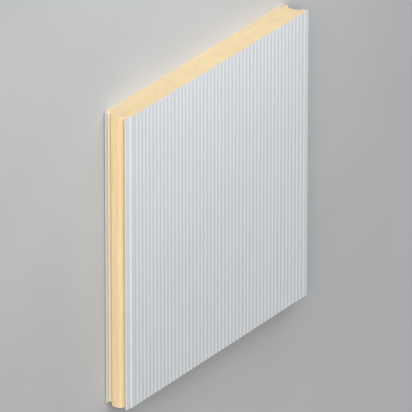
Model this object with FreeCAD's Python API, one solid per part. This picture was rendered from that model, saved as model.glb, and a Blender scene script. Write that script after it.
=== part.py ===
import FreeCAD, Part
import math
import os

# Insulated sandwich panel: two roll-formed steel facings bonded to a rigid foam core.
# The panel lies on its inner facing. X runs across the cover width, from the tongue edge
# to the groove edge, Y runs along the panel and Z through its thickness. The origin is
# the centre of the overall footprint, on the face it lies on. Lengths are in millimetres.

cover_width = 1000.0      # spacing at which neighbouring panels repeat
panel_length = 1000.0
panel_thickness = 92.0
sheet = 0.5               # steel facing
bend = 0.8                # inside radius of the edge folds

# Micro-ribs pressed into the outer facing
rib_pitch = 20.0
rib_depth = 1.0
rib_mouth = 13.0          # width of a groove at the face
rib_floor = 7.0           # width of a groove at its bottom
rib_bend = 1.5            # inside radius of the groove's folds
rib_margin = 25.0         # least distance from a groove's middle to the face's edge

# Joint between neighbouring panels: the tongues slide into the slots behind the lips
joint_reveal = 5.0        # gap left between two faces
outer_tongue = 23.5       # metal tongue of the outer facing, past the face's edge
inner_tongue = 15.5       # metal tongue of the inner facing, past the face's edge
tongue_thickness = 4.5
lip_thickness = 3.3       # folded lip over the slot
slide_play = 0.4          # on each side of a tongue in its slot
end_play = 6.0            # beyond the end of a seated outer tongue
anchor = 4.0              # sheet edge held inside the foam

# Foam tongue and groove between the two metal joints
foam_setback = 1.0        # foam tongue's nose, behind the end of the outer metal tongue
foam_nose = 26.0          # flat of the foam tongue
foam_play = 2.0           # on each side of the foam tongue's flat
foam_end_play = 4.0       # beyond the end of a seated foam tongue
foam_root_inset = 1.0     # start of the foam tongue, inwards of the face's edge
foam_fillet = 4.3         # slanted foam in the corner behind a metal tongue
foam_lip_setback = 3.5    # foam edge behind the end of the metal lip
foam_lip_flat = 5.8       # width of that foam edge

# Sizes that follow
face_width = cover_width - joint_reveal
overall_width = face_width + outer_tongue
half_thickness = panel_thickness / 2
face_start_x = outer_tongue - overall_width / 2
lip_x = overall_width / 2
slot_end_x = lip_x - (outer_tongue - joint_reveal + end_play)
foam_tongue = outer_tongue - foam_setback
foam_nose_x = face_start_x - foam_tongue
foam_root_x = face_start_x + foam_root_inset
foam_lip_x = lip_x - foam_lip_setback
foam_floor_x = lip_x - (foam_tongue - joint_reveal + foam_end_play)
tongue_top = half_thickness - lip_thickness - slide_play
tongue_bottom = tongue_top - tongue_thickness
slot_top = half_thickness - lip_thickness
slot_bottom = tongue_bottom - slide_play
groove_half = foam_nose / 2 + foam_play
groove_mouth = slot_bottom - foam_lip_flat


def rib_corners():
    """Corners of the grooves, spread about the middle of the face."""
    count = int((face_width - 2 * rib_margin) // rib_pitch) + 1
    middle = (face_start_x + lip_x) / 2
    floor_height = half_thickness - rib_depth
    corners = []
    for number in range(count):
        x = middle + (number - (count - 1) / 2) * rib_pitch
        corners.append((x - rib_mouth / 2, half_thickness, rib_bend))
        corners.append((x - rib_floor / 2, floor_height, rib_bend))
        corners.append((x + rib_floor / 2, floor_height, rib_bend))
        corners.append((x + rib_mouth / 2, half_thickness, rib_bend))
    return corners


def facing_corners(tongue_length, ribs):
    """Outer surface of a facing as (x, height over mid-thickness, bend), tongue to slot."""
    nose_x = face_start_x - tongue_length
    tongue = [
        (foam_root_x + anchor, tongue_bottom, 0),
        (nose_x, tongue_bottom, bend),
        (nose_x, tongue_top, bend),
        (face_start_x, tongue_top, bend),
        (face_start_x, half_thickness, bend),
    ]
    lip = [
        (lip_x, half_thickness, bend),
        (lip_x, slot_top, bend),
        (slot_end_x, slot_top, bend),
        (slot_end_x, slot_bottom - anchor, 0),
    ]
    return tongue + ribs + lip


def directions(corners):
    """Unit direction of each straight run between corners."""
    runs = []
    for start, end in zip(corners, corners[1:]):
        dx, dh = end[0] - start[0], end[1] - start[1]
        length = math.hypot(dx, dh)
        runs.append((dx / length, dh / length))
    return runs


def folded_line(corners, depth):
    """Runs and bends of a folded sheet's line, at a depth below its outer surface.

    The sheet lies to the right of the line. Each item is two points of a straight run
    or three points of a bend.
    """
    runs = directions(corners)
    items = []
    first, last = corners[0], corners[-1]
    here = (first[0] + depth * runs[0][1], first[1] - depth * runs[0][0])
    for (x, h, radius), before, after in zip(corners[1:-1], runs, runs[1:]):
        turn = math.atan2(before[0] * after[1] - before[1] * after[0],
                          before[0] * after[0] + before[1] * after[1])
        mitre = depth / (1 + math.cos(turn))
        x += mitre * (before[1] + after[1])
        h -= mitre * (before[0] + after[0])
        radius += depth if turn > 0 else sheet - depth
        trim = radius * math.tan(abs(turn) / 2)
        inset = radius / math.cos(turn / 2) - radius
        chord = 2 * math.sin(abs(turn) / 2)
        bend_start = (x - trim * before[0], h - trim * before[1])
        bend_middle = (x + inset * (after[0] - before[0]) / chord,
                       h + inset * (after[1] - before[1]) / chord)
        bend_end = (x + trim * after[0], h + trim * after[1])
        items.append((here, bend_start))
        items.append((bend_start, bend_middle, bend_end))
        here = bend_end
    items.append((here, (last[0] + depth * runs[-1][1], last[1] - depth * runs[-1][0])))
    return items


def straight_line(points):
    """Straight runs through points."""
    return list(zip(points, points[1:]))


def placed_edges(items, side):
    """Edges on the panel's end plane; side is 1 for the outer half and -1 for the inner."""
    edges = []
    for item in items:
        points = [FreeCAD.Vector(x, -panel_length / 2, half_thickness + side * h) for x, h in item]
        curve = Part.LineSegment(*points) if len(points) == 2 else Part.Arc(*points)
        edges.append(curve.toShape())
    return edges


def lengthwise(edges):
    """Solid of a closed section run along the panel."""
    wire = Part.Wire(Part.__sortEdges__(edges))
    return Part.Face(wire).extrude(FreeCAD.Vector(0, panel_length, 0))


def facing(corners, side):
    """Roll-formed steel facing."""
    outside = folded_line(corners, 0)
    inside = folded_line(corners, sheet)
    ends = [(outside[0][0], inside[0][0]), (outside[-1][-1], inside[-1][-1])]
    return lengthwise(placed_edges(outside + inside + ends, side))


def tongue_half(corners):
    """Half of the foam's tongue edge, from the held sheet edge to mid-thickness."""
    held_x, held_h = folded_line(corners, sheet)[0][0]
    return straight_line([
        (held_x, held_h),
        (held_x, tongue_bottom),
        (foam_root_x - foam_fillet, tongue_bottom),
        (foam_root_x, tongue_bottom - foam_fillet),
        (foam_nose_x, foam_nose / 2),
        (foam_nose_x, 0),
    ])


def groove_half_line(corners):
    """Half of the foam's groove edge, from the held sheet edge to mid-thickness."""
    held_x, held_h = folded_line(corners, sheet)[-1][-1]
    return straight_line([
        (held_x, held_h),
        (slot_end_x, held_h),
        (slot_end_x, slot_bottom),
        (foam_lip_x, slot_bottom),
        (foam_lip_x, groove_mouth),
        (foam_floor_x, groove_half),
        (foam_floor_x, 0),
    ])


def foam_core(outer_corners, inner_corners):
    """Foam that fills the panel between the facings, with its tongue and groove."""
    edges = []
    for corners, side in ((outer_corners, 1), (inner_corners, -1)):
        half = folded_line(corners, sheet) + tongue_half(corners) + groove_half_line(corners)
        edges += placed_edges(half, side)
    return lengthwise(edges)


outer_corners = facing_corners(outer_tongue, rib_corners())
inner_corners = facing_corners(inner_tongue, [])
parts = {
    "outer_facing": facing(outer_corners, 1),
    "inner_facing": facing(inner_corners, -1),
    "foam_core": foam_core(outer_corners, inner_corners),
}

os.makedirs("parts", exist_ok=True)
for name, shape in parts.items():
    shape.exportStep("parts/" + name + ".step")
    box = shape.BoundBox
    print(name, shape.isValid(), len(shape.Solids), round(shape.Volume / 1e3, 1), "cm3",
          round(box.XLength, 3), round(box.YLength, 3), round(box.ZLength, 3))
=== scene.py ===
import math

import bmesh
import bpy
from mathutils import Matrix, Vector


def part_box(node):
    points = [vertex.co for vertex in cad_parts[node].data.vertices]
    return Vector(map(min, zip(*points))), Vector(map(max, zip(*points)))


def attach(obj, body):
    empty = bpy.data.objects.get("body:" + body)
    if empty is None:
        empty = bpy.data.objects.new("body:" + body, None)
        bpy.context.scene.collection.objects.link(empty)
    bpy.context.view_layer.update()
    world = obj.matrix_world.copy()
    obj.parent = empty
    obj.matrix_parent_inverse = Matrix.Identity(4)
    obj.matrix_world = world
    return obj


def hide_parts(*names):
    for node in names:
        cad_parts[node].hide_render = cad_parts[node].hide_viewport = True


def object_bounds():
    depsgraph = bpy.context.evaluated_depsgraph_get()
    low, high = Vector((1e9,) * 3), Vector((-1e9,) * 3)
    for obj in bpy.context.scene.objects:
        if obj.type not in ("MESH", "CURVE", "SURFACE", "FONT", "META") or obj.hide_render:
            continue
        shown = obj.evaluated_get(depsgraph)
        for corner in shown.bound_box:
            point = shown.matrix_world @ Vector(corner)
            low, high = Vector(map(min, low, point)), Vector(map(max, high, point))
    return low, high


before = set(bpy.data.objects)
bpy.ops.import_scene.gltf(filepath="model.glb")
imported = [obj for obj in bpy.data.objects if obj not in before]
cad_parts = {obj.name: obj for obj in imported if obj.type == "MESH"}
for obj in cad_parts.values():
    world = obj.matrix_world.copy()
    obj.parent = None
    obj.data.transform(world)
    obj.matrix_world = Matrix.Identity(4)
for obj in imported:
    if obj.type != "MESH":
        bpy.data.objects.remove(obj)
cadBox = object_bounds()
panelLow, panelHigh = cadBox
panelLength = panelHigh.y - panelLow.y
middle = (panelLow + panelHigh) / 2
halfThickness = (panelHigh.z - panelLow.z) / 2
hairGap = 1e-6                 # metres: points this close count as one
mostlyAlong = 0.9              # a direction with this share along an axis counts as along it
print("frame loaded:", ", ".join(sorted(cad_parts)))


# Working in object and edit mode

def clearSelection():
    if bpy.context.object and bpy.context.object.mode != "OBJECT":
        bpy.ops.object.mode_set(mode="OBJECT")
    bpy.ops.object.select_all(action="DESELECT")


def makeActive(piece):
    clearSelection()
    piece.select_set(True)
    bpy.context.view_layer.objects.active = piece


def editPiece(piece, selectBy="EDGE"):
    makeActive(piece)
    bpy.ops.object.mode_set(mode="EDIT")
    bpy.ops.mesh.select_mode(type=selectBy)
    bpy.ops.mesh.select_all(action="DESELECT")


def doneEditing():
    bpy.ops.object.mode_set(mode="OBJECT")


def pick(piece, part, wanted):         # part is verts, edges or faces
    shape = bmesh.from_edit_mesh(piece.data)
    for item in getattr(shape, part):
        item.select_set(bool(wanted(item)))
    shape.select_flush_mode()
    bmesh.update_edit_mesh(piece.data)


def applyModifier(piece, kind, **settings):
    makeActive(piece)
    modifier = piece.modifiers.new(kind.title(), kind)
    for name, value in settings.items():
        setattr(modifier, name, value)
    bpy.ops.object.modifier_apply(modifier=modifier.name)


smoothing = {
    "flatAngle": 30,           # degrees: edges that turn more than this stay sharp
    "faceWeight": 100,         # the large faces settle the normals
}


def smoothFolds(piece):
    makeActive(piece)
    bpy.ops.object.shade_smooth_by_angle(angle=math.radians(smoothing["flatAngle"]))
    applyModifier(piece, "WEIGHTED_NORMAL", keep_sharp=True, weight=smoothing["faceWeight"])


# Building node trees

nodeSpacing = 220              # in the node editor


def addNode(tree, kind, sockets, **settings):      # a socket's value is a number, a colour or a link
    node = tree.nodes.new("ShaderNode" + kind)
    node.location.x = nodeSpacing * len(tree.nodes)
    for name, value in settings.items():
        setattr(node, name, value)
    for name, value in sockets.items():
        if isinstance(value, bpy.types.NodeSocket):
            tree.links.new(value, node.inputs[name])
        else:
            node.inputs[name].default_value = value
    return node.outputs


def mathNode(tree, operation, first, second=0.0):
    return addNode(tree, "Math", {0: first, 1: second}, operation=operation)[0]


def weigh(tree, masks, shares):                    # the masks added up, each times its share
    total = 0.0
    for name, share in shares.items():
        total = addNode(tree, "Math", {0: masks[name], 1: share, 2: total}, operation="MULTIPLY_ADD")[0]
    return total


def ramp(tree, value, low, high, toLow=0.0, toHigh=1.0):
    limits = {"From Min": low, "From Max": high, "To Min": toLow, "To Max": toHigh}
    return addNode(tree, "MapRange", {"Value": value, **limits}, interpolation_type="SMOOTHSTEP")[0]


def blend(tree, share, first, second):             # colours; the Mix node's sockets go by number
    return addNode(tree, "Mix", {0: share, 6: first, 7: second}, data_type="RGBA")[2]


def between(tree, share, first, second):           # numbers
    return addNode(tree, "Mix", {0: share, 2: first, 3: second})[0]


def newGroup(name, inputs, outputs):
    group = bpy.data.node_groups.new(name, "ShaderNodeTree")
    for label, kind in inputs.items():
        group.interface.new_socket(name=label, in_out="INPUT", socket_type="NodeSocket" + kind)
    for label in outputs:
        group.interface.new_socket(name=label, in_out="OUTPUT", socket_type="NodeSocketFloat")
    return group, group.nodes.new("NodeGroupInput").outputs, group.nodes.new("NodeGroupOutput").inputs


def placeGroup(tree, group, sockets):
    return addNode(tree, "Group", sockets, node_tree=group)


def newFinish(name):
    material = bpy.data.materials.new(name)
    material.use_nodes = True
    tree = material.node_tree
    shader = tree.nodes["Principled BSDF"]
    place = addNode(tree, "TexCoord", {})
    centred = addNode(tree, "Mapping", {"Vector": place["Object"], "Location": -middle})["Vector"]
    return material, tree, shader, centred, place["Normal"]


def feed(tree, shader, links):
    for name, source in links.items():
        tree.links.new(source, shader.inputs[name])


# Effects that the finishes are made of, each one a node group

noiseSpread = (0.3, 0.7)       # raw noise at these values becomes 0 and 1

grainNoise = {
    "Scale": 1.0,
    "Detail": 3.0,
    "Roughness": 0.55,
}


def makeStretchedGrain():              # noise with its own grain size in metres along X, Y and Z
    inputs = {"Vector": "Vector", "Grain Size": "Vector"}
    group, given, result = newGroup("stretchedGrain", inputs, ["Grain"])
    scaled = addNode(group, "VectorMath", {0: given["Vector"], 1: given["Grain Size"]}, operation="DIVIDE")[0]
    grain = addNode(group, "TexNoise", {"Vector": scaled, **grainNoise})["Fac"]
    group.links.new(ramp(group, grain, *noiseSpread), result["Grain"])
    return group


def makeSawnEnd(stretchedGrain):       # where the panel is cut across, and the marks that the blade leaves
    inputs = {"Vector": "Vector", "Normal": "Vector", "Mark Size": "Vector"}
    group, given, result = newGroup("sawnEnd", inputs, ["Cut", "Saw Marks"])
    facing = mathNode(group, "ABSOLUTE", addNode(group, "SeparateXYZ", {0: given["Normal"]})["Y"])
    group.links.new(mathNode(group, "GREATER_THAN", facing, mostlyAlong), result["Cut"])
    marks = placeGroup(group, stretchedGrain, {"Vector": given["Vector"], "Grain Size": given["Mark Size"]})
    group.links.new(marks["Grain"], result["Saw Marks"])
    return group


coatNoise = {
    "peel": {"Detail": 1.0},
    "clouds": {"Detail": 4.0, "Distortion": 0.6},
}


def makeCoilCoat(stretchedGrain):      # orange peel, roller streaks and faint handling marks of baked paint
    inputs = {"Vector": "Vector", "Peel Size": "Float", "Streak Size": "Vector", "Cloud Size": "Float"}
    group, given, result = newGroup("coilCoat", inputs, ["Peel", "Streaks", "Clouds"])
    peelScale = mathNode(group, "DIVIDE", 1.0, given["Peel Size"])
    peel = addNode(group, "TexNoise", {"Vector": given["Vector"], "Scale": peelScale,
                                       **coatNoise["peel"]})["Fac"]
    streaks = placeGroup(group, stretchedGrain, {"Vector": given["Vector"],
                                                 "Grain Size": given["Streak Size"]})
    cloudScale = mathNode(group, "DIVIDE", 1.0, given["Cloud Size"])
    clouds = addNode(group, "TexNoise", {"Vector": given["Vector"], "Scale": cloudScale,
                                         **coatNoise["clouds"]})["Fac"]
    group.links.new(peel, result["Peel"])
    group.links.new(streaks["Grain"], result["Streaks"])
    group.links.new(ramp(group, clouds, *noiseSpread), result["Clouds"])
    return group


foamTexture = {                        # ranges that become 0 to 1
    "cellWall": (0.0, 0.8),            # distance from a cell's middle, in cells
    "poreChance": (0.55, 1.0),         # a place's random value: below the range there is no pore
    "poreEdge": (0.0, 0.05),           # depth inside a pore's edge, in pore spacings
}


def makeFoamCells():                   # closed cells with walls between them, and scattered blown pores
    inputs = {"Vector": "Vector", "Cell Size": "Float", "Pore Spacing": "Float", "Pore Size": "Float"}
    group, given, result = newGroup("foamCells", inputs, ["Cells", "Pores"])
    cellScale = mathNode(group, "DIVIDE", 1.0, given["Cell Size"])
    cells = addNode(group, "TexVoronoi", {"Vector": given["Vector"], "Scale": cellScale})["Distance"]
    poreScale = mathNode(group, "DIVIDE", 1.0, given["Pore Spacing"])
    pores = addNode(group, "TexVoronoi", {"Vector": given["Vector"], "Scale": poreScale})
    # each pore gets a size of its own from its place's random colour
    chance = addNode(group, "SeparateColor", {0: pores["Color"]})[0]
    reach = mathNode(group, "MULTIPLY", ramp(group, chance, *foamTexture["poreChance"]), given["Pore Size"])
    reach = mathNode(group, "MULTIPLY", reach, poreScale)
    depth = mathNode(group, "SUBTRACT", reach, pores["Distance"])
    group.links.new(ramp(group, cells, *foamTexture["cellWall"]), result["Cells"])
    group.links.new(ramp(group, depth, *foamTexture["poreEdge"]), result["Pores"])
    return group


stretchedGrain = makeStretchedGrain()
sawnEnd = makeSawnEnd(stretchedGrain)
coilCoat = makeCoilCoat(stretchedGrain)
foamCells = makeFoamCells()
print("shared effects ready:", ", ".join(sorted(group.name for group in bpy.data.node_groups)))


# The folded section. Heights are over the middle of the panel's thickness.

joint = {                      # the locking edges, metres
    "reveal": 0.005,           # gap left between two faces
    "tongue": 0.0235,          # outer sheet's tongue, past the face
    "tongueThickness": 0.0045,
    "lipThickness": 0.0033,
    "slidePlay": 0.0004,       # on each side of a tongue in its slot
    "endPlay": 0.006,          # beyond the end of a seated tongue
    "heldEdge": 0.004,         # sheet edge inside the foam
    "rootInset": 0.001,        # foam tongue's root, inwards of the face
    "sheet": 0.0005,
    "bend": 0.0008,            # inside radius of the folds
}

noseX = panelLow.x
lipX = panelHigh.x
faceStartX = noseX + joint["tongue"]
slotEndX = lipX - (joint["tongue"] - joint["reveal"] + joint["endPlay"])
rootX = faceStartX + joint["rootInset"]
slotTop = halfThickness - joint["lipThickness"]
tongueTop = slotTop - joint["slidePlay"]
tongueBottom = tongueTop - joint["tongueThickness"]
slotBottom = tongueBottom - joint["slidePlay"]


def facingCorners(tongueNoseX, ribs):          # (x, height, inside radius) along the sheet's outer surface
    bend = joint["bend"]
    tongue = [
        (rootX + joint["heldEdge"], tongueBottom, 0),
        (tongueNoseX, tongueBottom, bend),
        (tongueNoseX, tongueTop, bend),
        (faceStartX, tongueTop, bend),
        (faceStartX, halfThickness, bend),
    ]
    lip = [
        (lipX, halfThickness, bend),
        (lipX, slotTop, bend),
        (slotEndX, slotTop, bend),
        (slotEndX, slotBottom - joint["heldEdge"], 0),
    ]
    return tongue + ribs + lip


def sheetLine(corners, depth):                 # the same line at a depth under the outer surface
    points = [Vector(corner[:2]) for corner in corners]
    runs = [(after - before).normalized() for before, after in zip(points, points[1:])]
    inward = [Vector((run.y, -run.x)) for run in runs]
    line = [(points[0] + depth * inward[0]).to_tuple() + (0,)]
    for number in range(1, len(points) - 1):
        before, after = inward[number - 1], inward[number]
        shifted = points[number] + depth * (before + after) / (1 + before.dot(after))
        turnsLeft = runs[number - 1].cross(runs[number]) > 0
        radius = corners[number][2] + (depth if turnsLeft else joint["sheet"] - depth)
        line.append(shifted.to_tuple() + (radius,))
    line.append((points[-1] + depth * inward[-1]).to_tuple() + (0,))
    return line


def placedLine(line, side):                    # side is 1 for the outer half, -1 for the inner
    return [(x, middle.z + side * height, radius) for x, height, radius in line]


def runsLengthwise(edge):
    along = edge.verts[1].co - edge.verts[0].co
    return abs(along.y) > mostlyAlong * along.length


# A plane for the first run, extruded run by run along the section
def drawnStrip(name, line):
    (firstX, firstZ, _), (nextX, _, _) = line[:2]
    clearSelection()
    bpy.ops.mesh.primitive_plane_add(size=1, location=((firstX + nextX) / 2, middle.y, firstZ))
    strip = bpy.context.object
    strip.name = name
    strip.scale = (abs(nextX - firstX), panelLength, 1)
    bpy.ops.object.transform_apply(location=True, rotation=False, scale=True)
    editPiece(strip)
    pick(strip, "edges", lambda edge: runsLengthwise(edge) and abs(edge.verts[0].co.x - nextX) < hairGap)
    for (x, z, _), (toX, toZ, _) in zip(line[1:], line[2:]):
        bpy.ops.mesh.extrude_region_move(TRANSFORM_OT_translate={"value": (toX - x, 0, toZ - z)})
    bpy.ops.mesh.select_all(action="SELECT")
    bpy.ops.mesh.remove_doubles(threshold=hairGap)
    doneEditing()
    return strip


folding = {
    "facetTurn": 15,               # degrees that one facet of a fold turns
    "fewestFacets": 2,
    "placeDigits": 5,              # of a metre, to tell corners apart
    "trimDigits": 7,               # of a metre, to tell sizes of fold apart
}


def cornerPlace(x, z):
    return round(x, folding["placeDigits"]), round(z, folding["placeDigits"])


# Folds of one size are bevelled together
def roundFolds(strip, line):
    folds = {}
    closed = (Vector(line[0][:2]) - Vector(line[-1][:2])).length < hairGap
    loop = [line[-2]] + line if closed else line
    for before, (x, z, radius), after in zip(loop, loop[1:], loop[2:]):
        turn = Vector((x - before[0], z - before[1])).angle(Vector((after[0] - x, after[1] - z)))
        if radius and turn:
            trim = round(radius * math.tan(turn / 2), folding["trimDigits"])
            facets = max(folding["fewestFacets"], round(math.degrees(turn) / folding["facetTurn"]))
            folds.setdefault((trim, facets), set()).add(cornerPlace(x, z))
    editPiece(strip)
    for (trim, facets), places in folds.items():
        pick(strip, "edges", lambda edge: runsLengthwise(edge) and
             cornerPlace(edge.verts[0].co.x, edge.verts[0].co.z) in places)
        bpy.ops.mesh.bevel(offset_type="OFFSET", offset=trim, segments=facets, affect="EDGES")
    doneEditing()


def foldedSheet(name, corners, side):
    line = placedLine(sheetLine(corners, 0), side)
    piece = drawnStrip(name, line)
    roundFolds(piece, line)
    topmost = max(piece.data.polygons, key=lambda face: side * face.center.z)
    if topmost.normal.z * side < 0:            # the strip faces out before it gets its thickness
        editPiece(piece, "FACE")
        bpy.ops.mesh.select_all(action="SELECT")
        bpy.ops.mesh.flip_normals()
        doneEditing()
    applyModifier(piece, "SOLIDIFY", thickness=joint["sheet"], offset=-1, use_even_offset=True)
    smoothFolds(piece)
    return piece


def fitToFrame(piece, node, finish):
    piece.data.materials.clear()
    piece.data.materials.append(finish)
    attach(piece, "root")
    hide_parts(node)
    print(piece.name, "made:", len(piece.data.polygons), "faces")


bareEdge = {                   # cut edge of a coated sheet
    "dark": (0.60, 0.61, 0.61, 1),
    "zincAndPaintedSheen": (0.84, 0.84, 0.83, 1),           # zinc smeared by the shear, and painted reflection: kept pale where bare steel would reflect little
    "metallic": 0.35,
    "markSize": (0.00015, 0.01, 0.002),
}


def coatedSteel(name, paint):
    material, tree, shader, place, normal = newFinish(name)
    coat = placeGroup(tree, coilCoat, {"Vector": place, "Peel Size": paint["peelSize"],
                                       "Streak Size": paint["streakSize"], "Cloud Size": paint["cloudSize"]})
    saw = placeGroup(tree, sawnEnd, {"Vector": place, "Normal": normal, "Mark Size": bareEdge["markSize"]})
    cut = saw["Cut"]
    tone = weigh(tree, coat, paint["toneShares"])
    colour = blend(tree, tone, paint["shade"], paint["tint"])
    # the cut edge's colour is partly zinc and partly painted reflection standing in for the shine of bare
    # metal
    edgeZincAndSheen = blend(tree, saw["Saw Marks"], bareEdge["dark"], bareEdge["zincAndPaintedSheen"])
    gloss = weigh(tree, coat, paint["glossShares"])
    relief = between(tree, cut, coat["Peel"], saw["Saw Marks"])
    shader.inputs["Specular IOR Level"].default_value = paint["specular"]
    feed(tree, shader, {
        "Base Color": blend(tree, cut, colour, edgeZincAndSheen),
        "Roughness": ramp(tree, gloss, 0.0, 1.0, paint["smoothest"], paint["roughest"]),
        "Metallic": mathNode(tree, "MULTIPLY", cut, bareEdge["metallic"]),
        "Normal": addNode(tree, "Bump", {"Height": relief, "Distance": paint["peelDepth"]})["Normal"],
    })
    return material


outerSheet = {                 # micro-ribbed facing, metres
    "ribs": 48,
    "ribPitch": 0.020,
    "ribDepth": 0.001,
    "ribMouth": 0.013,
    "ribFloor": 0.007,
    "ribBend": 0.0015,
    "shade": (0.691, 0.716, 0.735, 1),
    "tint": (0.706, 0.731, 0.751, 1),
    "specular": 0.2,
    "smoothest": 0.50,
    "roughest": 0.58,
    "peelSize": 0.0022,
    "peelDepth": 0.00002,
    "streakSize": (0.004, 0.5, 0.05),
    "cloudSize": 0.18,
    "toneShares": {"Clouds": 0.6, "Streaks": 0.4},
    "glossShares": {"Clouds": 0.5, "Streaks": 0.5},
}


def ribCorners():
    corners = []
    centreX = (faceStartX + lipX) / 2
    halfMouth, halfFloor = outerSheet["ribMouth"] / 2, outerSheet["ribFloor"] / 2
    bottom = halfThickness - outerSheet["ribDepth"]
    profile = (
        (-halfMouth, halfThickness),
        (-halfFloor, bottom),
        (halfFloor, bottom),
        (halfMouth, halfThickness),
    )
    for number in range(outerSheet["ribs"]):
        x = centreX + (number - (outerSheet["ribs"] - 1) / 2) * outerSheet["ribPitch"]
        for offset, height in profile:
            corners.append((x + offset, height, outerSheet["ribBend"]))
    return corners


outerCorners = facingCorners(noseX, ribCorners())
outerFacing = foldedSheet("outerFacingSheet", outerCorners, 1)
fitToFrame(outerFacing, "outer_facing", coatedSteel("greyWhiteCoat", outerSheet))

innerSheet = {                 # flat lining facing; its tongue is as long as the frame's
    # shade and tint are darker than the outer coat's: painted shade for the inner tongue, which lies in the
    # shadow of the nose and foam
    "shade": (0.591, 0.611, 0.604, 1),
    "tint": (0.606, 0.626, 0.620, 1),
    "specular": 0.2,
    "smoothest": 0.52,
    "roughest": 0.60,
    "peelSize": 0.0019,
    "peelDepth": 0.00002,
    "streakSize": (0.006, 0.7, 0.05),
    "cloudSize": 0.22,
    "toneShares": {"Clouds": 0.6, "Streaks": 0.4},
    "glossShares": {"Clouds": 0.5, "Streaks": 0.5},
}

innerCorners = facingCorners(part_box("inner_facing")[0].x, [])
innerFacing = foldedSheet("innerFacingSheet", innerCorners, -1)
fitToFrame(innerFacing, "inner_facing", coatedSteel("liningCoatPaintedShade", innerSheet))

foam = {                       # rigid core with its own tongue and groove, metres
    "tongue": 0.0225,          # past the face
    "nose": 0.026,             # flat of the tongue
    "fillet": 0.0043,          # slanted foam behind a metal tongue
    "play": 0.002,             # on each side of the tongue's flat
    "endPlay": 0.004,
    "lipSetback": 0.0035,      # foam edge behind the end of the metal lip
    "lipFlat": 0.0058,         # width of that edge
    "edgeRound": 0.001,
    "cutShade": (0.775, 0.602, 0.354, 1),
    "cutTint": (0.848, 0.675, 0.415, 1),
    # painted shade: the blown pores are coloured dark where shade would fall inside them
    "paintedPoreShade": (0.52, 0.37, 0.17, 1),
    "rimColour": (0.84, 0.755, 0.58, 1),       # denser foam against the steel
    "rimDepth": 0.003,
    "pocketColour": (0.80, 0.76, 0.66, 1),     # foam packed into the folded tongues and lips
    "skinShade": (0.80, 0.592, 0.322, 1),
    "skinTint": (0.862, 0.657, 0.378, 1),
    "skinRimColour": (0.90, 0.80, 0.60, 1),    # paler skin in the corners behind the tongues
    "skinRimDepth": (0.012, 0.0165),           # fades in between these depths under the face
    "cellSize": 0.0007,
    "poreSpacing": 0.009,
    "poreSize": 0.0011,
    "sawMarkSize": (0.0012, 0.02, 0.04),
    "flowSize": (0.05, 0.4, 0.02),             # bands of the rising foam, on the cut ends
    "skinFlowSize": (0.01, 0.12, 0.006),
    "toneShares": {"flow": 0.6, "cells": 0.4},
    "reliefShares": {"cells": 0.5, "pores": -2.0, "saw": 0.5},
    "reliefDepth": 0.0002,
    "cutRoughness": 0.92,
    "skinRoughness": 0.62,
}


def foamHalf(corners):                         # from the tongue's nose to the groove's floor
    held = sheetLine(corners, joint["sheet"])
    noseHalf = foam["nose"] / 2
    floorX = lipX - (foam["tongue"] - joint["reveal"] + foam["endPlay"])
    lipEdgeX = lipX - foam["lipSetback"]
    tongue = [
        (faceStartX - foam["tongue"], noseHalf, foam["edgeRound"]),
        (rootX, tongueBottom - foam["fillet"], 0),
        (rootX - foam["fillet"], tongueBottom, 0),
        (held[0][0], tongueBottom, 0),
    ]
    groove = [
        (slotEndX, held[-1][1], 0),
        (slotEndX, slotBottom, 0),
        (lipEdgeX, slotBottom, 0),
        (lipEdgeX, slotBottom - foam["lipFlat"], 0),
        (floorX, noseHalf + foam["play"], foam["edgeRound"]),
    ]
    return tongue + held + groove


def foamCore(name):
    outer = placedLine(foamHalf(outerCorners), 1)
    inner = placedLine(foamHalf(innerCorners), -1)
    loop = outer + inner[::-1]
    loop = loop[2:] + loop[:3]                 # begins on the level run behind the outer metal tongue
    piece = drawnStrip(name, loop)
    roundFolds(piece, loop)
    editPiece(piece)
    for end in (-1, 1):
        pick(piece, "edges", lambda edge: edge.is_boundary and edge.verts[0].co.y * end > 0)
        bpy.ops.mesh.edge_face_add()
    bpy.ops.mesh.select_all(action="SELECT")
    bpy.ops.mesh.normals_make_consistent(inside=False)
    doneEditing()
    smoothFolds(piece)
    return piece


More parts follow.
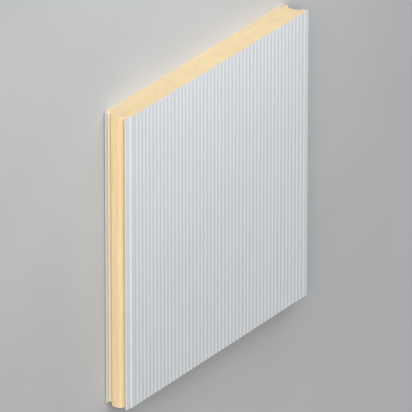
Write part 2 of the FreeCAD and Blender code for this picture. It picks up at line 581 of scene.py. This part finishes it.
def rigidFoam(name):
    material, tree, shader, place, normal = newFinish(name)
    saw = placeGroup(tree, sawnEnd, {"Vector": place, "Normal": normal, "Mark Size": foam["sawMarkSize"]})
    foamed = placeGroup(tree, foamCells, {"Vector": place, "Cell Size": foam["cellSize"],
                                          "Pore Spacing": foam["poreSpacing"], "Pore Size": foam["poreSize"]})
    flow = placeGroup(tree, stretchedGrain, {"Vector": place, "Grain Size": foam["flowSize"]})["Grain"]
    skinFlow = placeGroup(tree, stretchedGrain, {"Vector": place,
                                                 "Grain Size": foam["skinFlowSize"]})["Grain"]
    masks = {"flow": flow, "cells": foamed["Cells"], "pores": foamed["Pores"], "saw": saw["Saw Marks"]}
    apart = addNode(tree, "SeparateXYZ", {0: place})
    sideways = mathNode(tree, "ABSOLUTE", apart["X"])
    height = mathNode(tree, "ABSOLUTE", apart["Z"])
    # cut ends: cells, pores, bands of the rising foam, the dense rim and the folds' filling
    cutColour = blend(tree, weigh(tree, masks, foam["toneShares"]), foam["cutShade"], foam["cutTint"])
    # painted shade inside the pores
    cutColour = blend(tree, masks["pores"], cutColour, foam["paintedPoreShade"])
    rim = ramp(tree, height, halfThickness - foam["rimDepth"], halfThickness)
    cutColour = blend(tree, rim, cutColour, foam["rimColour"])
    pocket = mathNode(tree, "MULTIPLY", mathNode(tree, "GREATER_THAN", height, slotBottom),
                      mathNode(tree, "GREATER_THAN", sideways, slotEndX - middle.x))
    cutColour = blend(tree, pocket, cutColour, foam["pocketColour"])
    # long edges: the skin moulded against the side belts
    skinColour = blend(tree, skinFlow, foam["skinShade"], foam["skinTint"])
    nearRim, farRim = foam["skinRimDepth"]
    corner = ramp(tree, height, halfThickness - farRim, halfThickness - nearRim)
    skinColour = blend(tree, corner, skinColour, foam["skinRimColour"])
    relief = between(tree, saw["Cut"], skinFlow, weigh(tree, masks, foam["reliefShares"]))
    feed(tree, shader, {
        "Base Color": blend(tree, saw["Cut"], skinColour, cutColour),
        "Roughness": between(tree, saw["Cut"], foam["skinRoughness"], foam["cutRoughness"]),
        "Normal": addNode(tree, "Bump", {"Height": relief, "Distance": foam["reliefDepth"]})["Normal"],
    })
    return material


foamBlock = foamCore("foamBlock")
fitToFrame(foamBlock, "foam_core", rigidFoam("creamFoam"))


floor = {                      # plain pale studio floor, metres
    "size": 120,
    "gap": 0.0003,             # under the panel
    "shade": (0.54, 0.55, 0.56, 1),
    "tint": (0.56, 0.57, 0.58, 1),
    "mottleSize": (0.5, 0.5, 0.5),
    "roughness": 0.85,
}


def pourFloor():
    clearSelection()
    place = (middle.x, middle.y, panelLow.z - floor["gap"])
    bpy.ops.mesh.primitive_plane_add(size=floor["size"], location=place)
    ground = bpy.context.object
    ground.name = "studioFloor"
    material, tree, shader, spot, _ = newFinish("paleFloor")
    mottle = placeGroup(tree, stretchedGrain, {"Vector": spot, "Grain Size": floor["mottleSize"]})["Grain"]
    feed(tree, shader, {"Base Color": blend(tree, mottle, floor["shade"], floor["tint"])})
    shader.inputs["Roughness"].default_value = floor["roughness"]
    ground.data.materials.append(material)


pourFloor()

lights = {                     # a broad soft key, softboxes round the panel and an even sky
    "skyColour": (1, 1, 1, 1),
    "skyStrength": 0.1,
    "keyFrom": (-0.668, 0.5, 0.551),
    "keyAngle": 60,            # degrees across, for soft shadows and a faint sheen
    "keyStrength": 2.93,
    "softboxes": {             # place, size in metres, power in watts
        "tongueSideLight": ((-1.5, 1.0, 1.5), 1.2, 7.25),
        "farEndLight": ((0.15, 1.4, 1.0), 1.0, 7.3),
        "nearEndFill": ((0, -7, 0.75), 1.4, 104),
        "grooveSideFill": ((7, 0, 0.75), 1.4, 40),
    },
}


def addLight(kind, name, place, strength):
    towardsPanel = (-Vector(place)).to_track_quat("-Z", "Y").to_euler()
    bpy.ops.object.light_add(type=kind, location=place, rotation=towardsPanel)
    lamp = bpy.context.object
    lamp.name = name
    lamp.data.energy = strength
    return lamp.data


def lightStudio():
    sky = bpy.data.worlds.new("studioSky")
    sky.use_nodes = True
    sky.node_tree.nodes["Background"].inputs["Color"].default_value = lights["skyColour"]
    sky.node_tree.nodes["Background"].inputs["Strength"].default_value = lights["skyStrength"]
    bpy.context.scene.world = sky
    key = addLight("SUN", "keyLight", lights["keyFrom"], lights["keyStrength"])
    key.angle = math.radians(lights["keyAngle"])
    for name, (place, size, power) in lights["softboxes"].items():
        addLight("AREA", name, place, power).size = size


lightStudio()
print("floor and lights ready")

viewpoint = {                  # long lens, from above the tongue edge and the far end
    "turn": 55.922,            # from straight above towards the tongue edge, degrees
    "tip": 25.027,             # over the far end, degrees
    "aim": (-0.01497, 0.00706, 0.05401),
    "distance": 28.706,
    "lens": 795.78,            # millimetres
    "sensor": 36,
    "clipReach": 2,            # times the distance
}


def placeCamera():
    turn, tip = math.radians(viewpoint["turn"]), math.radians(viewpoint["tip"])
    right = Vector((math.cos(turn), 0, math.sin(turn)))
    back = Vector((-math.cos(tip) * math.sin(turn), math.sin(tip), math.cos(tip) * math.cos(turn)))
    bpy.ops.object.camera_add(location=(0, 0, 0))
    camera = bpy.context.object
    camera.name = "viewCamera"
    camera.data.sensor_width = viewpoint["sensor"]
    camera.data.lens = viewpoint["lens"]
    camera.data.clip_end = viewpoint["clipReach"] * viewpoint["distance"]
    place = Matrix((right, back.cross(right), back)).transposed().to_4x4()
    place.translation = Vector(viewpoint["aim"]) + viewpoint["distance"] * back
    camera.matrix_world = place
    bpy.context.scene.camera = camera


placeCamera()
bpy.context.scene.view_settings.view_transform = "Standard"
print("camera placed")
